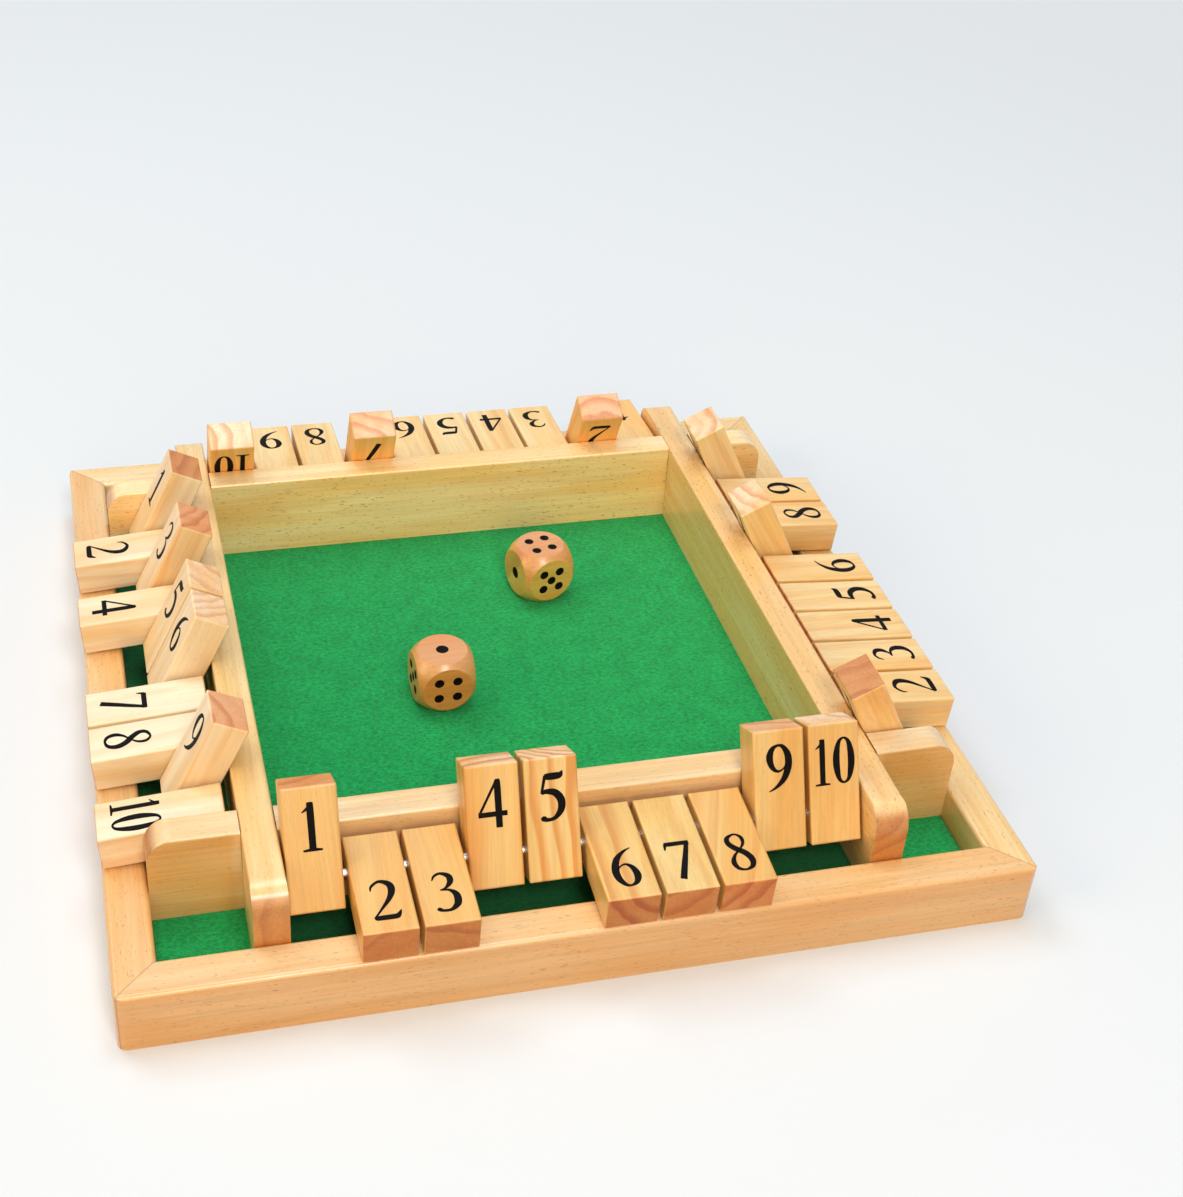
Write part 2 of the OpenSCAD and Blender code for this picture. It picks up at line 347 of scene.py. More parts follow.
def new_group(name, inputs, outputs):
    """An empty node group with named sockets, and its input node's outputs by name."""
    tree = bpy.data.node_groups.new(name, "ShaderNodeTree")
    for socket, (kind, default) in inputs.items():
        made = tree.interface.new_socket(socket, in_out="INPUT", socket_type="NodeSocket" + kind)
        made.default_value = default
    for socket, kind in outputs.items():
        tree.interface.new_socket(socket, in_out="OUTPUT", socket_type="NodeSocket" + kind)
    t = Tree(tree)
    return t, t.add("NodeGroupInput").outputs, t.add("NodeGroupOutput").inputs


def grain_group():
    """Solid pine. The grain runs along X, in millimetres, and the growth rings are circles about the X axis,
    so faces show lines or arches and cut ends show arcs. Each ring darkens slowly and ends sharply."""
    t, given, out = new_group(
        "Pine grain",
        {
            "Position": ("Vector", (0.0, 0.0, 0.0)),
            "Facing": ("Vector", (0.0, 0.0, 1.0)),
            "Pale": ("Color", (0.8, 0.8, 0.8, 1.0)),
            "Honey": ("Color", (0.8, 0.8, 0.8, 1.0)),
            "Dark": ("Color", (0.4, 0.4, 0.4, 1.0)),
            "End": ("Color", (0.7, 0.7, 0.7, 1.0)),
            "Ring width": ("Float", 3.0),
            "Ring strength": ("Float", 0.5),
            "Flecks": ("Float", 0.3),
            "Streaks": ("Float", 1.0),
        },
        {"Color": "Color", "Roughness": "Float", "Height": "Float"},
    )
    # The rings wander a little, and each has its own strength.
    place = given["Position"]
    across = t.vector("LENGTH", t.vector("MULTIPLY", place, (0.0, 1.0, 1.0)))
    slow = t.vector("MULTIPLY", place, (0.012, 0.05, 0.05))
    wander = t.math("MULTIPLY", t.math("SUBTRACT", t.noise(slow, 1.0, 2.0), 0.5), 12.0)
    ring = t.math("DIVIDE", t.math("ADD", across, wander), given["Ring width"])
    part = t.math("FRACT", ring)
    late = t.math("MULTIPLY", t.ramp(part, 0.3, 0.82), t.ramp(part, 0.86, 1.0, 1.0, 0.0))
    number = t.add("ShaderNodeTexWhiteNoise", {"W": t.math("FLOOR", ring)}, noise_dimensions="1D")
    kept = t.ramp(number.outputs["Value"], 0.0, 1.0, 0.25, 1.0)
    band = t.math("MULTIPLY", t.math("MULTIPLY", late, kept), given["Ring strength"], clamp=True)

    # Noise drawn out along the grain: patches, streaks and fibres, ever finer, and dashes of resin flecks.
    patches = t.noise(t.vector("MULTIPLY", place, (0.01, 0.08, 0.08)), 1.0, 2.0)
    streaks = t.noise(t.vector("MULTIPLY", place, (0.012, 0.8, 0.8)), 1.0, 3.0, 0.6)
    fibres = t.noise(t.vector("MULTIPLY", place, (0.07, 3.2, 3.2)), 1.0, 3.0, 0.65)
    dashes = t.noise(t.vector("MULTIPLY", place, (0.45, 2.2, 2.2)), 1.0, 1.0)
    fleck = t.math("MULTIPLY", t.ramp(dashes, 0.64, 0.73), given["Flecks"])

    colour = t.mix(t.ramp(patches, 0.35, 0.65), given["Pale"], given["Honey"])
    colour = t.mix(band, colour, given["Dark"])
    shade = t.math("ADD", t.ramp(streaks, 0.25, 0.75, -0.1, 0.1),
                   t.ramp(fibres, 0.25, 0.75, -0.08, 0.08))
    shade = t.math("ADD", t.math("MULTIPLY", shade, given["Streaks"]), 1.0)
    colour = t.tint(colour, shade)
    colour = t.mix(fleck, colour, t.tint(given["Dark"], (0.55, 0.5, 0.5, 1.0)))

    # Cut ends face along the grain. Their pores and their rings multiply the tint.
    along = t.math("ABSOLUTE", t.split(given["Facing"])["X"])
    cut = t.ramp(along, 0.5, 0.9)
    pores = t.noise(t.vector("MULTIPLY", place, (0.2, 2.4, 2.4)), 1.0, 3.0, 0.7)
    rings = t.mix(t.math("MULTIPLY", late, kept), (1.0, 1.0, 1.0, 1.0), (0.83, 0.7, 0.6, 1.0))
    ends = t.tint(t.tint(given["End"], rings), t.ramp(pores, 0.3, 0.7, 0.88, 1.12))
    colour = t.mix(cut, colour, t.tint(colour, ends))

    relief = t.math("ADD", t.math("MULTIPLY", fibres, 0.6), t.math("MULTIPLY", streaks, 0.8))
    t.fill(out, {
        "Color": colour,
        "Roughness": t.math("ADD", t.ramp(fibres, 0.2, 0.8, 0.36, 0.5), t.math("MULTIPLY", cut, 0.08)),
        "Height": t.math("SUBTRACT", relief, t.math("MULTIPLY", fleck, 0.5)),
    })
    return t.tree


def speckle_group():
    """Two sizes of fine noise, for the unevenness of paint, felt and steel. Scale is in specks to a metre."""
    t, given, out = new_group(
        "Speckle",
        {"Position": ("Vector", (0.0, 0.0, 0.0)), "Scale": ("Float", 1000.0), "Low": ("Float", 0.9),
         "High": ("Float", 1.1)},
        {"Factor": "Float", "Height": "Float"},
    )
    coarse = t.noise(given["Position"], given["Scale"], 3.0, 0.6)
    fine = t.noise(given["Position"], t.math("MULTIPLY", given["Scale"], 4.0), 2.0, 0.6)
    both = t.math("ADD", t.math("MULTIPLY", coarse, 0.6), t.math("MULTIPLY", fine, 0.4))
    t.fill(out, {"Factor": t.ramp(both, 0.3, 0.7, given["Low"], given["High"]), "Height": both})
    return t.tree


def mitre_group():
    """The dark glue line of the mitres, where a point lies as far out sideways as it lies to the front or the
    back."""
    t, given, out = new_group(
        "Mitre line",
        {"Color": ("Color", (0.8, 0.8, 0.8, 1.0)), "Position": ("Vector", (0.0, 0.0, 0.0)),
         "Glue": ("Color", (0.3, 0.1, 0.1, 1.0))},
        {"Color": "Color"},
    )
    place = t.split(t.vector("ABSOLUTE", given["Position"]))
    off = t.math("ABSOLUTE", t.math("SUBTRACT", place["X"], place["Y"]))
    line = t.ramp(off, 0.1 * MM, 0.45 * MM, 0.5, 0.0)
    t.fill(out, {"Color": t.mix(line, given["Color"], given["Glue"])})
    return t.tree


def stain_group():
    """Painted light on a die, set by which way its surface faces. The upright faces take one tint, for the
    warm front light and the felt's green light on them, and the rounding takes another that fades out on the
    under side, where the upright faces' tint stays. Facing is the surface's normal in the die's own axes."""
    white = (1.0, 1.0, 1.0, 1.0)
    t, given, out = new_group(
        "Die painted light",
        {"Color": ("Color", white), "Facing": ("Vector", (0.0, 0.0, 1.0)), "Sides": ("Color", white),
         "Rounding": ("Color", white)},
        {"Color": "Color"},
    )
    upward = t.split(given["Facing"])["Z"]
    facing = t.split(t.vector("ABSOLUTE", given["Facing"]))
    most = t.math("MAXIMUM", t.math("MAXIMUM", facing["X"], facing["Y"]), facing["Z"])
    rounding = t.math("MULTIPLY", t.ramp(most, 0.72, 0.95, 1.0, 0.0), t.ramp(upward, -0.5, 0.3))
    facing_light = t.mix(t.ramp(facing["Z"], 0.8, 0.95), given["Sides"], white)
    facing_light = t.mix(rounding, facing_light, given["Rounding"])
    t.fill(out, {"Color": t.tint(given["Color"], facing_light)})
    return t.tree


def new_material(name):
    """A material with an empty tree, its writer and its Principled shader."""
    material = bpy.data.materials.new(name)
    material.use_nodes = True
    material.node_tree.nodes.clear()
    t = Tree(material.node_tree)
    shader = t.add("ShaderNodeBsdfPrincipled")
    t.add("ShaderNodeOutputMaterial", {"Surface": shader.outputs["BSDF"]})
    return material, t, shader


def speckles(t, position, scale, low, high):
    """The speckle group placed in a material. It gives a factor from low to high, and a height."""
    return t.group("Speckle", speckle_group,
                   {"Position": position, "Scale": scale, "Low": low, "High": high})


def reopen(material):
    """The writer, the Principled shader and the present colour of a finished material."""
    shader = next(node for node in material.node_tree.nodes if node.type == "BSDF_PRINCIPLED")
    return Tree(material.node_tree), shader, shader.inputs["Base Color"].links[0].from_socket


def dress(name, material):
    """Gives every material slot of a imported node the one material."""
    piece = frame["nodes"][name]
    piece.data.materials.clear()
    piece.data.materials.append(material)


# ---------------------------------------------------------------- wood


class Log:
    """Where a piece lay in its tree: the grain's direction, and the pith as a line beside the piece. pith is
    the least and the greatest distance of that line, and lean is how far the grain strays."""

    def __init__(self, centre, grain, face, seed, pith, lean):
        rng = np.random.default_rng(seed)
        angle = rng.uniform(0, 2 * math.pi)
        x = np.asarray(grain, float) + rng.normal(0, lean, 3)
        x /= np.linalg.norm(x)
        y = np.cross(face, x)
        y /= np.linalg.norm(y)
        z = np.cross(x, y)
        distance = rng.uniform(*pith)
        self.turn = Matrix(np.stack([x, y, z], 1).tolist()).to_euler()
        offset = math.cos(angle) * y + math.sin(angle) * z
        self.place = np.asarray(centre, float) + offset * distance + x * rng.uniform(-0.5, 0.5)


def pine(name, log, ring, strength, flecks, tint, streaks, end=None):
    """Lacquered pine cut from its own place in a tree. ring is a growth ring's width in millimetres, and
    strength is how dark its band is. flecks and streaks say how much they show. end tints the cut ends."""
    look = bpy.context.scene.game_pine
    material, t, shader = new_material(name)
    coords = t.add("ShaderNodeTexCoord").outputs
    place = t.add("ShaderNodeMapping", {"Vector": coords["Object"], "Location": tuple(log.place),
                                        "Rotation": tuple(log.turn), "Scale": (MM, MM, MM)},
                  vector_type="TEXTURE")
    facing = t.add("ShaderNodeMapping", {"Vector": coords["Normal"], "Rotation": tuple(log.turn)},
                   vector_type="TEXTURE")
    pale, honey, dark = (opaque(np.array(colour) * tint) for colour in (look.pale, look.honey, look.dark))
    grain = t.group("Pine grain", grain_group, {
        "Position": place.outputs[0], "Facing": facing.outputs[0], "Pale": pale, "Honey": honey, "Dark": dark,
        "End": opaque(end or look.end), "Ring width": ring, "Ring strength": strength, "Flecks": flecks,
        "Streaks": streaks,
    })
    t.fill(shader.inputs, {"Base Color": grain["Color"], "Roughness": grain["Roughness"],
                           "Normal": t.bump(grain["Height"], 0.25, 0.05 * MM)})
    coat(shader, look.lacquer, look.lacquer_roughness)
    return material


def coat(shader, weight, roughness):
    """A clear coat of lacquer."""
    shader.inputs["Coat Weight"].default_value = weight
    shader.inputs["Coat Roughness"].default_value = roughness
    shader.inputs["Coat IOR"].default_value = 1.5


def side_axes(side):
    """Along a side to its player's right, outwards from the board, and up."""
    c, s = math.cos(SIDE_TURN[side]), math.sin(SIDE_TURN[side])
    return np.array([c, s, 0.0]), np.array([s, -c, 0.0]), np.array([0.0, 0.0, 1.0])


def middle(node):
    """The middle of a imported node's box."""
    return np.mean(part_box(node), axis=0)


def face_data(node):
    """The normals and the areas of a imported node's faces."""
    polygons = frame["nodes"][node].data.polygons
    normals, areas = np.empty(len(polygons) * 3), np.empty(len(polygons))
    polygons.foreach_get("normal", normals)
    polygons.foreach_get("area", areas)
    return normals.reshape(-1, 3), areas


def warm_ends(material, start):
    """Paints shade on the upright faces of a wall that lies along X, from start outwards to its two ends: a
    darker, more orange tint for the shade in the corner wells.
    """
    t, shader, colour = reopen(material)
    shade_tint, fade = (0.86, 0.72, 0.52, 1.0), 4 * MM
    coords = t.add("ShaderNodeTexCoord").outputs
    along = t.split(t.vector("ABSOLUTE", coords["Object"]))["X"]
    upward = t.split(coords["Normal"])["Z"]
    # The painted shade fades in from start and leaves out the faces that look up.
    warm = t.math("MULTIPLY", t.ramp(along, start, start + fade), t.ramp(upward, 0.4, 0.9, 1.0, 0.0))
    t.feed(shader.inputs["Base Color"], t.mix(warm, colour, t.tint(colour, shade_tint)))


class GAME_OT_rails(bpy.types.Operator):
    """Pine for the four mitred outer rails, its grain along each rail"""

    bl_idname = "game.rails"
    bl_label = "Outer rails"

    # The left rail's orange is its own tone; the front rail's darker tint is painted shade, for how the light
    # falls on it.
    TINTS = {"front": (0.94, 0.86, 0.84), "right": (0.98, 0.97, 0.92), "back": (1.05, 1.1, 1.22),
             "left": (0.93, 0.84, 0.78)}
    GLUE = (0.3, 0.14, 0.05, 1.0)

    def execute(self, context):
        for k, side in enumerate(SIDES):
            along, _, up = side_axes(side)
            name = "rail_" + side
            log = Log(middle(name), along, up, seed=11 + k, pith=(0.05, 0.11), lean=0.008)
            wood = pine(f"Pine, {side} rail", log, ring=5.0, strength=0.16, flecks=0.5,
                        tint=self.TINTS[side], streaks=0.7)
            t, shader, colour = reopen(wood)
            place = t.add("ShaderNodeTexCoord").outputs["Object"]
            line = t.group("Mitre line", mitre_group, {"Color": colour, "Position": place, "Glue": self.GLUE})
            t.feed(shader.inputs["Base Color"], line["Color"])
            dress(name, wood)
        return {"FINISHED"}


class GAME_OT_inner_walls(bpy.types.Operator):
    """Pine for the four crossing inner walls"""

    bl_idname = "game.inner_walls"
    bl_label = "Inner walls"

    # The back wall's paler tint is painted light, for the light that falls on its inner face.
    TINTS = {"front": (1.0, 1.08, 1.36), "right": (1.02, 1.03, 1.08), "back": (1.12, 1.2, 1.3),
             "left": (1.0, 1.03, 1.0)}

    def execute(self, context):
        for k, side in enumerate(SIDES):
            along, _, up = side_axes(side)
            name = "inner_wall_" + side
            log = Log(middle(name), along, up, seed=31 + k, pith=(0.04, 0.1), lean=0.008)
            flecks = 0.75 if side in ("right", "back") else 0.35
            wood = pine(f"Pine, {side} wall", log, ring=5.0, strength=0.2, flecks=flecks,
                        tint=self.TINTS[side], streaks=0.7)
            # The front wall's ends in the corner wells get painted shade.
            if side == "front":
                warm_ends(wood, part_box("inner_wall_right")[1][0])
            dress(name, wood)
        return {"FINISHED"}


class GAME_OT_floor(bpy.types.Operator):
    """Plywood for the floor panel"""

    bl_idname = "game.floor_panel"
    bl_label = "Floor panel"

    def execute(self, context):
        log = Log(middle("floor_panel"), (1, 0, 0), (0, 0, 1), seed=51, pith=(0.3, 0.4), lean=0.01)
        dress("floor_panel",
              pine("Plywood", log, ring=9.0, strength=0.45, flecks=0.2, tint=(0.82, 0.78, 0.74), streaks=1.0))
        return {"FINISHED"}


# ---------------------------------------------------------------- tiles


class TileFrame:
    """A tile's own axes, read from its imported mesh: wide to its player's right, grain from the rod to the
    free end, and out from the face that is outside when the tile stands."""

    def __init__(self, side, number):
        self.node = f"tile_{side}_{number}"
        joint = JOINTS[self.node]
        self.rod = np.array(joint["pos_m"], float)
        self.wide, outwards, _ = side_axes(side)
        normals, areas = face_data(self.node)
        out = normals[areas.argmax()]
        # A tile that stands can still turn down. One that lies can't, and its outer face looks down.
        stands = joint["range_deg"][1] > 0
        outside = out @ outwards if stands else -out[2]
        self.out = out if outside > 0 else -out
        self.grain = np.cross(self.out, self.wide)
        vertices = frame["nodes"][self.node].data.vertices
        points = np.empty(len(vertices) * 3)
        vertices.foreach_get("co", points)
        points = points.reshape(-1, 3) - self.rod
        self.reach = float((points @ self.grain).max())
        self.half = float((points @ self.out).max())


class GAME_OT_tiles(bpy.types.Operator):
    """Pine for the forty tiles, each from its own place in a tree"""

    bl_idname = "game.tiles"
    bl_label = "Tiles"

    # Each front tile's own cut of wood: seed, ring width, strength of its bands and lean of its grain.
    FRONT_CUTS = ((14, 7.0, 0.5, 0.05), (8, 7.0, 0.3, 0.05), (15, 7.0, 0.4, 0.05), (12, 7.0, 0.9, 0.05),
                  (7, 3.2, 1.3, 0.03), (7, 6.0, 1.1, 0.1), (14, 7.0, 0.35, 0.05), (13, 6.0, 0.7, 0.1),
                  (15, 7.0, 0.5, 0.05), (16, 7.0, 0.3, 0.05))
    # How far each tile's wood turns from cream to orange: each tile's own tone, and for the standing back
    # tiles 1, 2, 7 and 10 also painted shade, a deeper orange for their faces in shade.
    WARMTH = {
        "front": (0.45, 0.7, 0.5, 0.4, -0.3, -0.5, -0.6, 0.3, 0.2, 0.3),
        "right": (0.5, 0.1, 0.3, 0.0, 0.2, 0.3, -0.4, 0.4, 0.2, -0.2),
        "back": (1.2, 1.9, 0.0, 0.1, 0.2, 0.6, 1.7, 0.0, 0.3, 1.6),
        "left": (0.3, 0.1, 0.6, 0.0, 0.1, 0.1, 0.0, 0.1, 0.0, 0.0),
    }
    # How pale each tile's end grain is: 0 is red as on the walls, a half is warm and 1 is pale. The pale ends
    # are painted light: they are the upper ends of standing tiles, made pale for the light from above on
    # them.
    ENDS = {
        "front": (0.5, 0.05, 0.0, 0.9, 1.0, 0.0, 0.1, 0.2, 0.7, 1.0),
        "right": (0.05, 0.5, 0.5, 0.5, 0.5, 0.5, 0.95, 0.5, 0.5, 0.95),
        "back": (0.3, 0.7, 0.5, 0.5, 0.5, 0.5, 0.8, 0.5, 0.5, 1.0),
        "left": (0.25, 0.4, 0.55, 0.5, 1.0, 1.0, 0.5, 0.5, 0.6, 0.5),
    }
    # The tint of each side's tiles, which is painted light: the left row much paler and the back row paler
    # for the light that falls on them, and the front row darker; and how strong each side's streaks are.
    TINTS = {"front": (0.9, 0.86, 0.68), "right": (1.02, 1.05, 1.08), "back": (1.06, 1.12, 1.15),
             "left": (1.05, 1.24, 1.8)}
    STREAKS = {"front": 0.7, "right": 0.7, "back": 0.7, "left": 0.4}

    def execute(self, context):
        look = context.scene.game_pine
        for k, side in enumerate(SIDES):
            for number, warmth_and_shade, pale in zip(range(1, TILES + 1), self.WARMTH[side], self.ENDS[side]):
                tile = TileFrame(side, number)
                seed = 100 * (k + 1) + number
                rng = np.random.default_rng(seed)
                cut = (seed, rng.uniform(4.0, 6.5), rng.uniform(0.2, 0.5), 0.04)
                if side == "front":
                    cut = self.FRONT_CUTS[number - 1]
                seed, ring, strength, lean = cut
                log = Log(middle(tile.node), tile.grain, tile.out, seed, (0.012, 0.04), lean)
                tint = np.array([1.0, 1.0 - 0.13 * warmth_and_shade, 1.0 - 0.3 * warmth_and_shade]) * self.TINTS[side]
                # The tint is divided out of the end grain, whose colour is given as it should show.
                ends = np.array([look.end, look.warm_end, look.pale_end]).T / tint[:, None]
                end = tuple(np.interp(pale, (0.0, 0.5, 1.0), channel) for channel in ends)
                wood = pine(f"Pine, {side} tile {number}", log, ring, strength, rng.uniform(0.0, 0.2), tint,
                            self.STREAKS[side], end)
                coat(reopen(wood)[1], look.satin, look.satin_roughness)
                dress(tile.node, wood)
        return {"FINISHED"}


# ---------------------------------------------------------------- new meshes


def put(name, data):
    """A new object in the scene."""
    thing = bpy.data.objects.new(name, data)
    bpy.context.scene.collection.objects.link(thing)
    return thing


def add_mesh(name, points, faces, material, body, smooth=True):
    """A piece made of points and faces, riding on a body."""
    mesh = bpy.data.meshes.new(name)
    mesh.from_pydata(np.asarray(points).tolist(), [], faces)
    mesh.polygons.foreach_set("use_smooth", np.full(len(mesh.polygons), smooth))
    mesh.validate()
    mesh.materials.append(material)
    piece = put(name, mesh)
    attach(piece, body)
    return piece


def tube_faces(rings, around, closed):
    """Quads between neighbouring rings of points, as lists of indices. An open tube has a cap at each end."""
    ring, step = np.meshgrid(np.arange(rings if closed else rings - 1), np.arange(around), indexing="ij")
    after, turned = (ring + 1) % rings, (step + 1) % around
    quads = np.stack([ring * around + step, ring * around + turned, after * around + turned,
                      after * around + step], -1).reshape(-1, 4).tolist()
    if closed:
        return quads
    last = (rings - 1) * around
    return quads + [list(range(around))[::-1], [last + k for k in range(around)]]


def smooth_path(knots, closed, samples):
    """A smooth line through the knots: between two of them it is the cubic whose slope at each is half the
    chord of its neighbours. Two knots make a straight line."""
    knots = np.asarray(knots, float)
    if len(knots) == 2:
        return knots
    if closed:
        padded = np.concatenate([knots[-1:], knots, knots[:2]])
    else:
        padded = np.concatenate([2 * knots[:1] - knots[1:2], knots, 2 * knots[-1:] - knots[-2:-1]])
    t = np.linspace(0, 1, samples, endpoint=False)[None, :, None]
    a, b, c, d = (padded[k : len(padded) - 3 + k, None, :] for k in range(4))
    path = 0.5 * (2 * b + (c - a) * t + (2 * a - 5 * b + 4 * c - d) * t**2 + (3 * b - a - 3 * c + d) * t**3)
    path = path.reshape(-1, knots.shape[1])
    return path if closed else np.concatenate([path, knots[-1:]])


def stroke_mesh(closed, knots, samples, low, high):
    """A flat pen stroke as a closed plate from low to high: each point of the path is widened by half its pen
    width to both sides of the path's direction."""
    path = smooth_path(knots, closed, samples)
    line, half = path[:, :2], path[:, 2:3] / 2
    if closed:
        ahead = np.roll(line, -1, 0) - np.roll(line, 1, 0)
    else:
        ahead = np.gradient(line, axis=0)
    ahead /= np.linalg.norm(ahead, axis=1, keepdims=True)
    left = np.stack([-ahead[:, 1], ahead[:, 0]], 1) * half
    corners = [np.column_stack([line + s * left, np.full(len(line), z)])
               for s, z in ((1, low), (1, high), (-1, high), (-1, low))]
    points = np.stack(corners, 1).reshape(-1, 3)
    return points, tube_faces(len(line), 4, closed)


def number_strokes(text):
    """Strokes of a whole number, placed about its middle and standing on its base line. Each comes with
    whether it is a loop."""
    if text in WIDE_NUMBER:
        return [(closed, [(x * narrow + shift, y, w * narrow) for x, y, w in knots])
                for digit, shift, narrow in WIDE_NUMBER[text] for closed, knots in number_strokes(digit)]
    if text in HALF_TURNED:
        return [(closed, [(-x, 1 - y, w) for x, y, w in knots])
                for closed, knots in number_strokes(HALF_TURNED[text])]
    return [(text in LOOPED, knots) for knots in STROKES[text]]


def number_mesh(text, look, apart=0.12):
    """A number as thin plates, its middle at the origin, flat on z = 0 and up along y. The plates' tops lie a
    hair apart, so that crossing strokes never share a plane."""
    points, faces, start = [], [], 0
    for k, (closed, knots) in enumerate(number_strokes(text)):
        top = look.film * (1 + apart * k)
        knots = [(x, y, w * look.pen) for x, y, w in knots]
        own, own_faces = stroke_mesh(closed, knots, look.samples, -look.film, top)
        own[:, 1] -= 0.5
        own[:, :2] *= look.height
        points.append(own)
        faces += [[start + v for v in face] for face in own_faces]
        start += len(own)
    return np.concatenate(points), faces


def paint(name, colour):
    """Dull black paint, a little worn."""
    material, t, shader = new_material(name)
    speckle = speckles(t, t.add("ShaderNodeTexCoord").outputs["Object"], 900.0, 0.6, 1.7)
    t.fill(shader.inputs, {
        "Base Color": t.tint(opaque(colour), speckle["Factor"]),
        "Normal": t.bump(speckle["Height"], 0.2, 0.02 * MM),
        "Roughness": 0.55,
        "Specular IOR Level": 0.06,
    })
    return material


class GAME_OT_numbers(bpy.types.Operator):
    """Black serif numbers on both faces of every tile, upright for the player of that side"""

    bl_idname = "game.numbers"
    bl_label = "Numbers"

    def execute(self, context):
        look = context.scene.game_number
        ink = paint("Number ink", look.ink)
        for number in range(1, TILES + 1):
            flat, faces = number_mesh(str(number), look)
            for side in SIDES:
                tile = TileFrame(side, number)
                centre = tile.reach - look.margin - look.height / 2
                both = []
                for turn in (1, -1):
                    axes = np.stack([tile.wide, turn * tile.grain, turn * tile.out])
                    both.append(flat @ axes + tile.rod + tile.grain * centre + turn * tile.out * tile.half)
                again = [[v + len(flat) for v in face] for face in faces]
                add_mesh(f"number_{side}_{number}", np.concatenate(both), faces + again, ink, tile.node,
                         smooth=False)
        return {"FINISHED"}


# ---------------------------------------------------------------- dice


class GAME_OT_dice(bpy.types.Operator):
    """Glossy orange wood for the dice, and black paint in the hollows of their pips"""

    bl_idname = "game.dice"
    bl_label = "Dice"

    # What shows on top, in front and on the right of each die.
    SHOWS = {"die_1": (1, 4, 2), "die_2": (4, 5, 6)}

    def execute(self, context):
        look = context.scene.game_die
        ink = paint("Pip paint", context.scene.game_number.ink)
        for k, (name, shows) in enumerate(self.SHOWS.items()):
            front = self.front(name)
            right = np.array([-front[1], front[0], 0.0])
            log = Log(middle(name), right, front, seed=71 + k, pith=(0.02, 0.05), lean=0.1)
            axes = np.stack([right, -front, [0.0, 0.0, 1.0]])
            turn = Matrix(axes.T.tolist()).to_euler()
            # Each die's painted light on its upright faces.
            sides = (look.sides, look.golden)[k]
            dress(name, self.wood("Die wood, " + name, log, turn, sides, look))
            self.pips(name, shows, axes, look, ink)
        return {"FINISHED"}

    @staticmethod
    def wood(name, log, turn, sides, look):
        """Wood under a thick gloss, with painted light by which way each face looks. turn is the die's own
        turn, which the painted light follows.
        """
        pale = np.array(bpy.context.scene.game_pine.pale)
        material = pine(name, log, ring=14.0, strength=0.1, flecks=0.1, tint=np.array(look.wood) / pale,
                        streaks=0.9, end=(1.0, 1.0, 1.0))
        t, shader, colour = reopen(material)
        normal = t.add("ShaderNodeTexCoord").outputs["Normal"]
        facing = t.add("ShaderNodeMapping", {"Vector": normal, "Rotation": tuple(turn)},
                       vector_type="TEXTURE").outputs[0]
        facing_light = t.group("Die painted light", stain_group, {"Color": colour, "Facing": facing, "Sides": opaque(sides),
                                                   "Rounding": opaque(look.rounding)})
        t.feed(shader.inputs["Base Color"], facing_light["Color"])
        coat(shader, weight=1.0, roughness=0.28)
        return material

    @staticmethod
    def front(name):
        """The direction of the die's face that looks to the front, from its largest upright face there."""
        normals, areas = face_data(name)
        forward = (normals[:, 1] < -0.7) & (np.abs(normals[:, 2]) < 0.001)
        return normals[np.where(forward, areas, 0).argmax()]

    @staticmethod
    def spread(count, pitch):
        """Places of the pips on a face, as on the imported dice."""
        spots = [(0, 0)] if count % 2 else []
        spots += [(-1, 1), (1, -1)] if count > 1 else []
        spots += [(1, 1), (-1, -1)] if count > 3 else []
        spots += [(-1, 0), (1, 0)] if count == 6 else []
        return np.array(spots, float) * pitch

    @staticmethod
    def film(diameter, depth, thick=0.02 * MM, cover=0.985, around=20, steps=4):
        """A thin lens that lies in a pip's hollow: a cap of the hollow's ball, raised by the paint's
        thickness and closed by the same cap as far below. It stops just short of the hollow's rim."""
        ball = (diameter**2 / 4 + depth**2) / (2 * depth)
        radius = np.linspace(0, diameter / 2 * cover, steps + 1)
        cap = ball - depth - np.sqrt(ball**2 - radius**2)
        ring_r = np.concatenate([radius[1:], radius[:0:-1]])
        ring_z = np.concatenate([cap[1:] + thick, cap[:0:-1] - thick])
        angle = np.linspace(0, 2 * math.pi, around, endpoint=False)
        rings = np.stack([ring_r[:, None] * np.cos(angle), ring_r[:, None] * np.sin(angle),
                          np.repeat(ring_z[:, None], around, 1)], -1).reshape(-1, 3)
        poles = [[0, 0, cap[0] + thick], [0, 0, cap[0] - thick]]
        top, bottom = len(rings), len(rings) + 1
        last = len(rings) - around
        faces = [face[::-1] for face in tube_faces(len(ring_r), around, False)[:-2]]
        faces += [[top, k, (k + 1) % around] for k in range(around)]
        faces += [[bottom, last + (k + 1) % around, last + k] for k in range(around)]
        return np.concatenate([rings, poles]), faces

    def pips(self, name, shows, axes, look, ink):
        """The paint in all the pips of a die, as one piece. Each face's pips are laid out on top and turned
        there."""
        up, front, right = shows
        quarter = math.pi / 2
        turns = [(up, (0, 0, 0)), (7 - up, (2 * quarter, 0, 0)), (front, (quarter, 0, 0)),
                 (7 - front, (-quarter, 0, 0)), (right, (0, quarter, 0)), (7 - right, (0, -quarter, 0))]
        low, high = (np.array(corner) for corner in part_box(name))
        half = (high[2] - low[2]) / 2
        points, faces, start = [], [], 0
        for count, turn in turns:
            matrix = np.array(Euler(turn).to_matrix())
            film, film_faces = self.film(look.one if count == 1 else look.pip, look.depth)
            for spot in self.spread(count, look.pitch):
                placed = (film + [*spot, half]) @ matrix.T @ axes + (low + high) / 2
                points.append(placed)
                faces += [[start + v for v in face] for face in film_faces]
                start += len(film)
        add_mesh(name + "_pips", np.concatenate(points), faces, ink, name)


# ---------------------------------------------------------------- felt


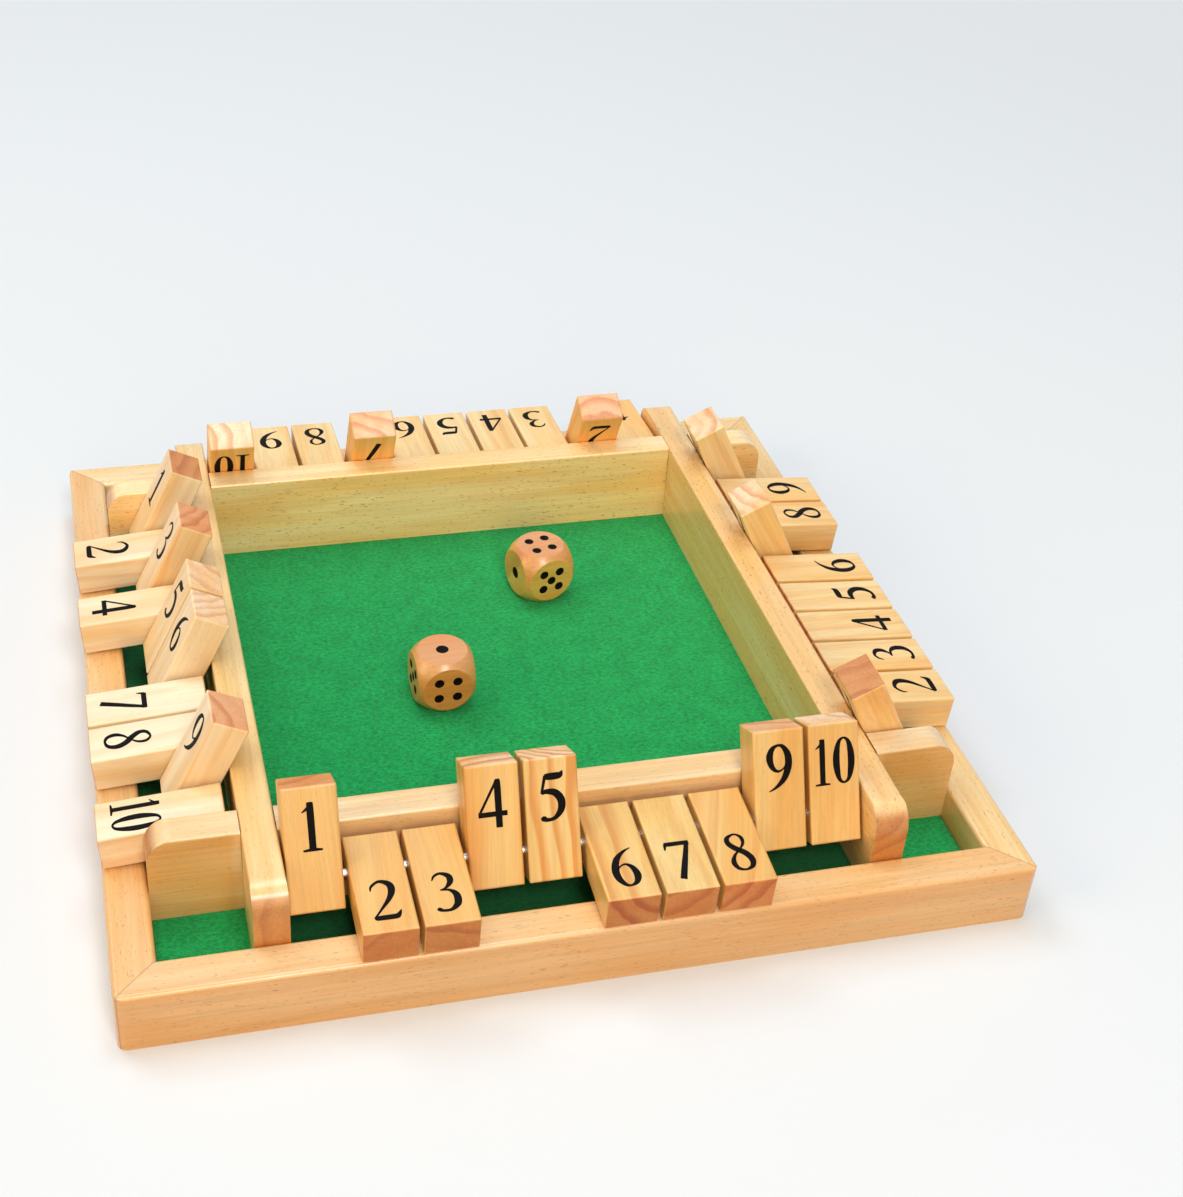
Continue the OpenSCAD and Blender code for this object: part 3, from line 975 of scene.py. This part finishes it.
class GAME_OT_felt(bpy.types.Operator):
    """The felt lining: one cut sheet with a gently uneven nap"""

    bl_idname = "game.felt"
    bl_label = "Felt lining"

    def execute(self, context):
        look = context.scene.game_felt
        low, high = (np.array(corner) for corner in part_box("felt_lining"))
        points, faces = self.sheet(low, high, look)
        felt = add_mesh("felt_sheet", points, faces, self.cloth(look), "board")
        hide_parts("felt_lining")
        return {"FINISHED"}

    @staticmethod
    def nap(x, y, seed=5, waves=24):
        """A sum of plane waves of random direction and phase, 4 to 40 mm long, scaled to stay within 1 of
        zero."""
        rng = np.random.default_rng(seed)
        lengths = np.geomspace(4 * MM, 40 * MM, waves)
        angles, phases = rng.uniform(0, math.pi, waves), rng.uniform(0, 2 * math.pi, waves)
        total = np.zeros_like(x)
        for length, angle, phase in zip(lengths, angles, phases):
            total += np.sin(2 * math.pi * (x * math.cos(angle) + y * math.sin(angle)) / length + phase)
        return total / np.abs(total).max()

    def sheet(self, low, high, look):
        """A flat grid whose top is raised by the nap and rounded down at its edges, closed by a flat grid
        below and a skirt between them."""
        cells = np.round((high[:2] - low[:2]) / look.cell).astype(int)
        x, y = np.meshgrid(*(np.linspace(low[k], high[k], cells[k] + 1) for k in range(2)), indexing="ij")
        edge = np.minimum.reduce([x - low[0], high[0] - x, y - low[1], high[1] - y])
        deepest, fade = 0.35 * MM, 0.5 * MM
        drop = deepest * np.exp(-edge / fade)
        top = np.stack([x, y, high[2] - look.relief + look.relief * self.nap(x, y) - drop], -1)
        under = np.stack([x, y, np.full_like(x, low[2])], -1)
        n, m = x.shape
        index = np.arange(n * m).reshape(n, m)
        quad = np.stack([index[:-1, :-1], index[1:, :-1], index[1:, 1:], index[:-1, 1:]], -1).reshape(-1, 4)
        rim = np.concatenate([index[:-1, 0], index[-1, :-1], index[:0:-1, -1], index[0, :0:-1]])
        after = np.roll(rim, -1)
        skirt = np.stack([rim, rim + n * m, after + n * m, after], -1)
        faces = quad.tolist() + (quad[:, ::-1] + n * m).tolist() + skirt.tolist()
        return np.concatenate([top.reshape(-1, 3), under.reshape(-1, 3)]), faces

    @staticmethod
    def channels(t, coords, most=0.75):
        """How strongly painted shade darkens the felt. It rises to most in the four channels under the tiles,
        where their shadow falls: further out than the inner walls one way, and between the walls' inner faces
        the other way."""
        inner, outer = (corner[0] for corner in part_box("inner_wall_right"))
        place = t.split(t.vector("ABSOLUTE", coords))
        out = t.math("MAXIMUM", place["X"], place["Y"])
        along = t.math("MINIMUM", place["X"], place["Y"])
        return t.math("MULTIPLY", t.ramp(out, inner, outer), t.ramp(along, inner, outer, most, 0.0))

    def cloth(self, look):
        """Green felt, its hairs lying mostly along X, with paler hairs on top and broad clumps below, and
        painted shade in the channels under the tiles.
        """
        material, t, shader = new_material("Green felt")
        coords = t.add("ShaderNodeTexCoord").outputs["Object"]
        speckle = speckles(t, t.vector("MULTIPLY", coords, (1.0, 1.5, 1.0)), 560.0, 0.54, 1.46)
        hairs = t.noise(t.vector("MULTIPLY", coords, (1.0, 2.6, 1.0)), 780.0, 3.0, 0.65)
        clumps = t.noise(coords, 120.0, 2.0)
        pale = opaque(np.clip(np.array(look.colour) * (6.0, 1.3, 2.2), 0, 1))
        colour = t.tint(opaque(look.colour), speckle["Factor"])
        colour = t.mix(t.ramp(hairs, 0.46, 0.7, 0.0, 0.9), colour, pale)
        colour = t.tint(colour, t.ramp(clumps, 0.3, 0.7, 0.93, 1.07))
        t.fill(shader.inputs, {
            # The felt in the channels is painted darker, a painted shadow of the tiles.
            "Base Color": t.mix(self.channels(t, coords), colour, opaque(look.channel)),
            "Normal": t.bump(t.math("ADD", speckle["Height"], hairs), 0.7, 0.35 * MM),
            "Roughness": 0.95,
            "Sheen Weight": 0.14,
            "Sheen Roughness": 0.5,
            "Specular IOR Level": 0.15,
        })
        return material


# ---------------------------------------------------------------- metal


def steel(name, roughness):
    """Steel: clean metal with a faint speckle."""
    material, t, shader = new_material(name)
    bright = (0.74, 0.76, 0.79, 1.0)
    speckle = speckles(t, t.add("ShaderNodeTexCoord").outputs["Object"], 1500.0, 0.8, 1.25)
    t.fill(shader.inputs, {
        "Base Color": t.tint(bright, speckle["Factor"]),
        "Roughness": t.math("MULTIPLY", speckle["Factor"], roughness),
        "Metallic": 1.0,
    })
    return material


class GAME_OT_metal(bpy.types.Operator):
    """Bright steel for the rods, and duller steel for the pins"""

    bl_idname = "game.metal"
    bl_label = "Rods and pins"

    def execute(self, context):
        bright = steel("Rod steel", roughness=0.34)
        for side in SIDES:
            dress("rod_" + side, bright)
        dress("panel_pins", steel("Pin steel", roughness=0.4))
        return {"FINISHED"}


# ---------------------------------------------------------------- stage


class GAME_OT_stage(bpy.types.Operator):
    """A plain pale floor, soft lamps and the camera"""

    bl_idname = "game.stage"
    bl_label = "Stage"

    def execute(self, context):
        look = context.scene.game_stage
        self.camera(context.scene, look)
        self.floor(look)
        self.sky(context.scene, look)
        cool, white = (0.88, 1.0, 1.1), (1.0, 0.95, 0.92)
        self.lamp("Overhead lamp", (0.3, 0.4, 3.0), 1.3, look.key, cool)
        self.lamp("Back lamp", (-1.0, 1.4, 2.5), 1.3, look.back, cool)
        self.lamp("Side lamp", (-2.4, -0.4, 1.2), 1.4, look.side, look.warm)
        self.lamp("Front lamp", (-0.3, -2.6, 0.9), 1.5, look.front, look.warm)
        self.lamp("Gloss lamp", (0.06, -1.47, 1.63), 0.55, look.gloss, white)
        context.scene.view_settings.view_transform = "Standard"
        return {"FINISHED"}

    @staticmethod
    def camera(scene, look):
        camera = put("Camera", bpy.data.cameras.new("Camera"))
        camera.location = look.eye
        camera.rotation_euler = look.turn
        camera.data.lens = look.lens
        camera.data.shift_x = look.shift
        camera.data.clip_start = 0.01
        scene.camera = camera

    @staticmethod
    def seen(t):
        """1 for a ray from the camera or a glossy reflection, and 0 for light on its way."""
        ray = t.add("ShaderNodeLightPath").outputs
        return t.math("MAXIMUM", ray["Is Camera Ray"], ray["Is Glossy Ray"])

    def floor(self, look):
        """A round floor that shows the object's shadow near it and turns into the even backdrop further
        out."""
        reach, sides, start, end = 9.0, 64, 0.45, 1.3
        angle = np.linspace(0, 2 * math.pi, sides, endpoint=False)
        rim = np.stack([reach * np.cos(angle), reach * np.sin(angle), np.zeros(sides)], 1)
        mesh = bpy.data.meshes.new("floor")
        mesh.from_pydata(rim.tolist(), [], [list(range(sides))])
        floor = put("floor", mesh)
        material, t, shader = new_material("Floor")
        away = t.vector("LENGTH", t.add("ShaderNodeTexCoord").outputs["Object"])
        seen = self.seen(t)
        near = t.mix(seen, opaque(look.bounce), opaque(look.floor))
        black = (0.0, 0.0, 0.0, 1.0)
        backdrop = t.math("MULTIPLY", t.ramp(away, start, end), seen)
        t.fill(shader.inputs, {
            "Base Color": t.mix(backdrop, near, black),
            "Emission Color": t.mix(backdrop, black, opaque(look.floor)),
            "Emission Strength": 1.0,
            "Roughness": 1.0,
            "Specular IOR Level": 0.0,
        })
        mesh.materials.append(material)

    def sky(self, scene, look):
        """Even light all round, which the camera and glossy reflections see as the backdrop's colour."""
        world = bpy.data.worlds.new("Sky")
        world.use_nodes = True
        world.node_tree.nodes.clear()
        t = Tree(world.node_tree)
        grey = (look.sky, look.sky, look.sky, 1.0)
        colour = t.mix(self.seen(t), grey, opaque(look.floor))
        back = t.add("ShaderNodeBackground", {"Color": colour, "Strength": 1.0})
        t.add("ShaderNodeOutputWorld", {"Surface": back.outputs[0]})
        scene.world = world

    @staticmethod
    def lamp(name, place, size, power, colour):
        """A square lamp that faces the board."""
        light = bpy.data.lights.new(name, "AREA")
        light.shape = "SQUARE"
        light.size = size
        light.energy = power
        light.color = colour
        lamp = put(name, light)
        lamp.location = place
        lamp.rotation_euler = Vector(place).to_track_quat("Z", "Y").to_euler()


# ---------------------------------------------------------------- add-on


SETTINGS = {
    "game_pine": PineSettings,
    "game_felt": FeltSettings,
    "game_number": NumberSettings,
    "game_die": DieSettings,
    "game_stage": StageSettings,
}
STEPS = (
    GAME_OT_stage,
    GAME_OT_rails,
    GAME_OT_inner_walls,
    GAME_OT_floor,
    GAME_OT_metal,
    GAME_OT_felt,
    GAME_OT_tiles,
    GAME_OT_numbers,
    GAME_OT_dice,
)


class GAME_PT_panel(bpy.types.Panel):
    """Lists the steps that dress the game"""

    bl_idname = "GAME_PT_panel"
    bl_label = "Board game"
    bl_space_type = "VIEW_3D"
    bl_region_type = "UI"
    bl_category = "Board game"

    def draw(self, context):
        for name, settings in SETTINGS.items():
            box = self.layout.box()
            for key in settings.__annotations__:
                box.prop(getattr(context.scene, name), key)
        for step in STEPS:
            self.layout.operator(step.bl_idname)


def register():
    for kind in (*SETTINGS.values(), *STEPS, GAME_PT_panel):
        bpy.utils.register_class(kind)
    for name, settings in SETTINGS.items():
        setattr(bpy.types.Scene, name, PointerProperty(type=settings))


def unregister():
    for name in SETTINGS:
        delattr(bpy.types.Scene, name)
    for kind in (GAME_PT_panel, *reversed(STEPS), *reversed(SETTINGS.values())):
        bpy.utils.unregister_class(kind)


def main():
    register()
    for step in STEPS:
        family, action = step.bl_idname.split(".")
        getattr(getattr(bpy.ops, family), action)()


if __name__ == "__main__":
    main()
